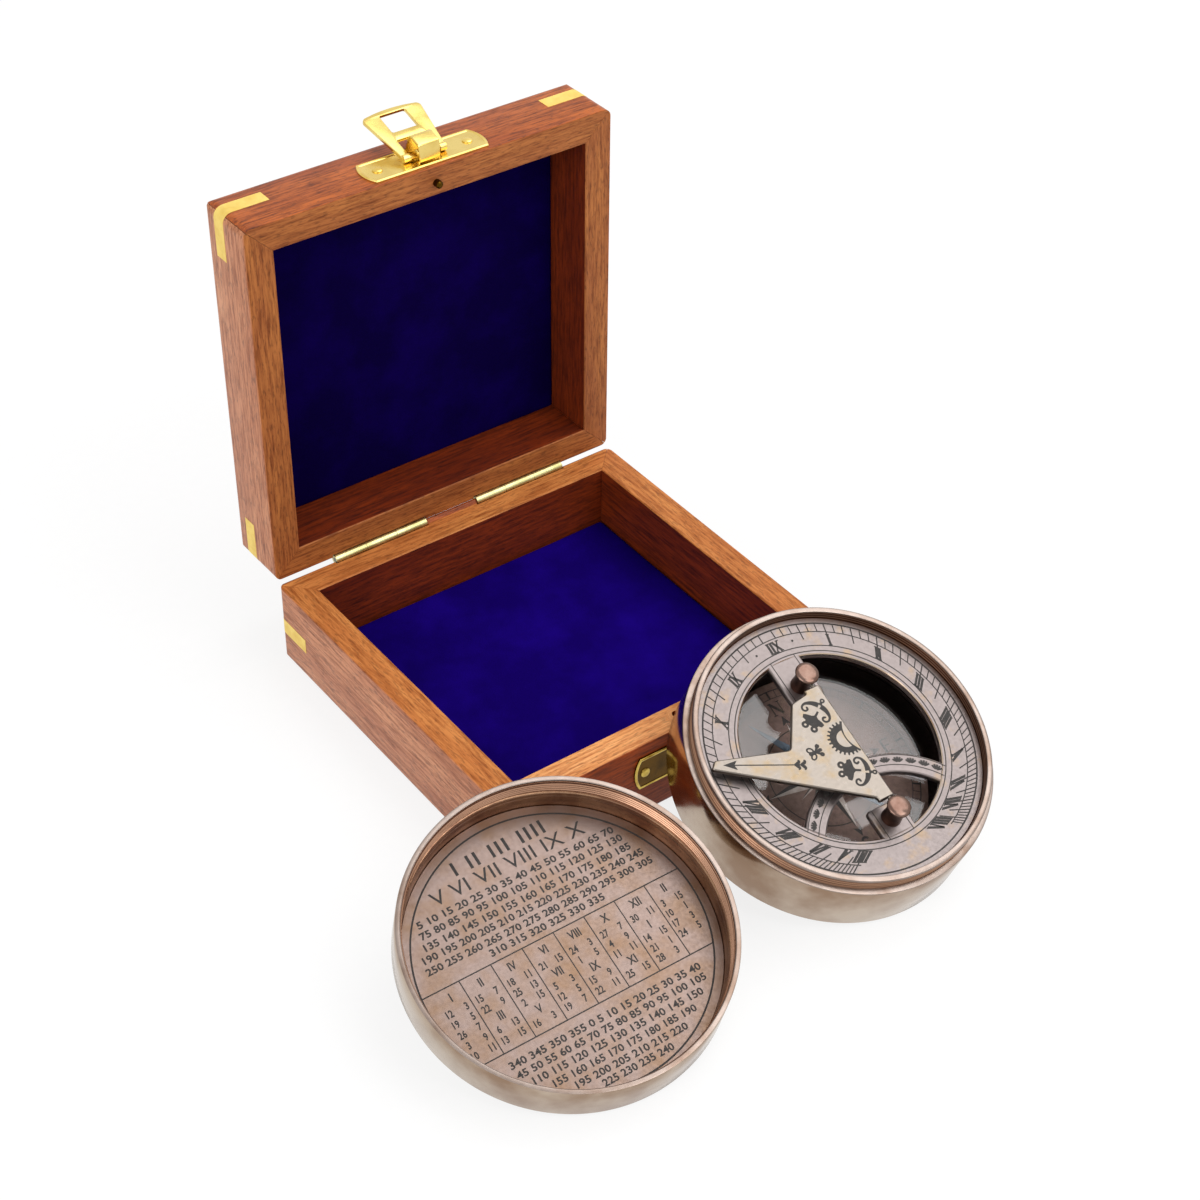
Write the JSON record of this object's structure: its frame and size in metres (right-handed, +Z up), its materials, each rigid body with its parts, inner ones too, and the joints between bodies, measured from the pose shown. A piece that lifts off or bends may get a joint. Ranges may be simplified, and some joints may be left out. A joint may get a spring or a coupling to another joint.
{
  "type": "sundial compass",
  "caption": "Pocket sundial compass with folding gnomon and screw lid, leaning on its open velvet-lined wooden box with hinged lid and hasp",
  "frame": {"origin": "middle of the wooden box's underside, on the table", "axes": "+X along the box's hinges, to the right seen from the front; +Y from the latch side to the hinge side; +Z up"},
  "size_m": [0.1562, 0.1956, 0.1311],
  "materials": {
    "hardwood": "satin oiled hardwood",
    "velvet": "short pile velvet",
    "polished_brass": "polished",
    "pale_brass": "satin",
    "steel": "drawn wire",
    "bronzed_brass": "antiqued satin",
    "dark_bronze": "dark antiqued",
    "copper_bronze": "polished copper tone",
    "card": "printed card",
    "glass": "clear",
    "blued_steel": "blued"
  },
  "bodies": {
    "box_base": {"base_wall_front": "hardwood", "base_wall_back": "hardwood", "base_wall_left": "hardwood", "base_wall_right": "hardwood", "base_floor": "hardwood", "base_velvet": "velvet", "base_corner_keys": "polished_brass", "base_hinge_leaves": "pale_brass", "hinge_pins": "steel", "base_hinge_nails": "pale_brass", "catch_plate": "pale_brass", "catch_nails": "polished_brass"},
    "box_lid": {"lid_wall_front": "hardwood", "lid_wall_back": "hardwood", "lid_wall_left": "hardwood", "lid_wall_right": "hardwood", "lid_panel": "hardwood", "lid_velvet": "velvet", "lid_corner_keys": "polished_brass", "lid_hinge_leaves": "pale_brass", "lid_hinge_nails": "pale_brass", "latch_plate": "polished_brass", "latch_nails": "polished_brass", "locating_pin": "pale_brass"},
    "hasp": {"hasp": "polished_brass"},
    "compass": {"compass_case": "bronzed_brass", "compass_bowl": "dark_bronze", "dial_plate": "bronzed_brass", "post_north": "copper_bronze", "post_south": "copper_bronze", "post_nuts": "pale_brass", "compass_card": "card", "needle_pivot": "steel", "compass_glass": "glass", "glass_ring": "dark_bronze"},
    "gnomon": {"gnomon": "bronzed_brass"},
    "needle": {"needle": "blued_steel", "needle_cap": "polished_brass"},
    "screw_lid": {"screw_lid_shell": "bronzed_brass", "lid_table_plate": "bronzed_brass"}
  },
  "joints": [
    {"name": "box_lid_hinge", "type": "hinge", "parent": "box_base", "child": "box_lid", "pos_m": [0, 0.05095, 0.02315], "axis": [1, 0, 0], "range_deg": [0, 90.6]},
    {"name": "hasp_swing", "type": "hinge", "parent": "box_lid", "child": "hasp", "pos_m": [0.0004, 0.05718, 0.12604], "axis": [1, 0, 0], "range_deg": [-17, 163]},
    {"name": "compass_lift_off", "type": "slide", "parent": "box_base", "child": "compass", "axis": [0, -1, 0], "range_m": [0, 0.06]},
    {"name": "gnomon_fold", "type": "hinge", "parent": "compass", "child": "gnomon", "pos_m": [0.02055, -0.08329, 0.03278], "axis": [0.0454, 0.9323, 0.3587], "range_deg": [0, 93.5]},
    {"name": "needle_turn", "type": "hinge", "parent": "compass", "child": "needle", "pos_m": [0.02055, -0.07729, 0.01719], "axis": [0, -0.3591, 0.9333], "continuous": true},
    {"name": "screw_lid_lift_off", "type": "slide", "parent": "box_base", "child": "screw_lid", "axis": [0, -1, 0], "range_m": [0, 0.06]}
  ],
  "couplings": [
    {"joint": "compass_lift_off", "follows": "box_lid_hinge", "m_per_rad": 0.0379},
    {"joint": "screw_lid_lift_off", "follows": "box_lid_hinge", "m_per_rad": 0.0379}
  ]
}
